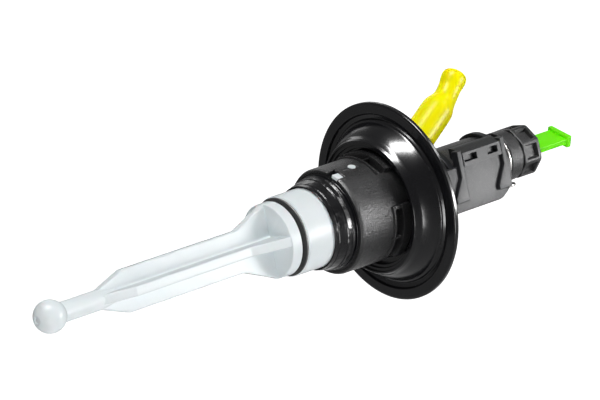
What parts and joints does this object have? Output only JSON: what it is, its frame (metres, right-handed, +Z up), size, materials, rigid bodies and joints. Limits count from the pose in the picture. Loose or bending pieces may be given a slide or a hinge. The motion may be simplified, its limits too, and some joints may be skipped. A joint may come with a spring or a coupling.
{
  "type": "clutch master cylinder",
  "caption": "Hydraulic clutch master cylinder with bayonet sleeve, sealing disc, ribbed pushrod, capped inlet nipple and quick-connect outlet with a transport plug.",
  "frame": {"origin": "centre of the sealing disc's front face, on the cylinder axis, where the cylinder meets the bulkhead", "axes": "+X along the cylinder from the pedal ball to the outlet, +Z up towards the reservoir inlet, -Y the side that carries the sensor rail"},
  "size_m": [0.2546, 0.0756, 0.0784],
  "materials": {
    "white_nylon": "smooth moulded nylon with a soft sheen",
    "black_nylon": "glass-filled nylon, satin, slightly grained",
    "gloss_black": "polished moulded black plastic",
    "rail_grey": "dark grey moulded plastic, satin",
    "seal_rubber": "smooth black rubber",
    "spring_steel": "bright drawn wire",
    "magnet": "sintered magnet",
    "yellow_cap": "soft bright yellow moulding",
    "green_plug": "lime green moulding"
  },
  "bodies": {
    "housing": {"pressure_body": "black_nylon", "bayonet_sleeve": "black_nylon", "bulkhead_seal": "gloss_black", "front_cap": "black_nylon", "guide_bush": "white_nylon", "guide_ring": "white_nylon", "secondary_seal": "seal_rubber", "feed_ring": "white_nylon", "primary_seal": "seal_rubber", "sensor_rail": "rail_grey", "outlet_head": "black_nylon", "end_o_ring": "seal_rubber", "socket_o_ring": "seal_rubber", "wire_clip": "spring_steel", "return_spring": "spring_steel"},
    "piston": {"plunger": "white_nylon", "bumper_ring": "seal_rubber", "cup_retainer": "black_nylon", "magnet_ring": "magnet", "magnet_keeper": "white_nylon"},
    "cup": {"ball_cup": "black_nylon"},
    "rod": {"pushrod": "white_nylon"},
    "plug": {"transport_plug": "green_plug"},
    "cap": {"inlet_cap": "yellow_cap"}
  },
  "joints": [
    {"name": "piston_travel", "type": "slide", "parent": "housing", "child": "piston", "axis": [1, 0, 0], "range_m": [0, 0.024], "stiffness_N_per_m": 800, "springref_m": -0.015, "deforming": ["return_spring"]},
    {"name": "rod_yaw", "type": "hinge", "parent": "piston", "child": "cup", "pos_m": [-0.038, 0, 0], "axis": [0, 0, 1], "range_deg": [-2.2, 2.2]},
    {"name": "rod_pitch", "type": "hinge", "parent": "cup", "child": "rod", "pos_m": [-0.038, 0, 0], "axis": [0, 1, 0], "range_deg": [-2.2, 2.2]},
    {"name": "plug_pull", "type": "slide", "parent": "housing", "child": "plug", "axis": [1, 0, 0], "range_m": [0, 0.018]},
    {"name": "cap_pull", "type": "slide", "parent": "housing", "child": "cap", "axis": [0.8329, 0, 0.5534], "range_m": [0, 0.018]}
  ]
}
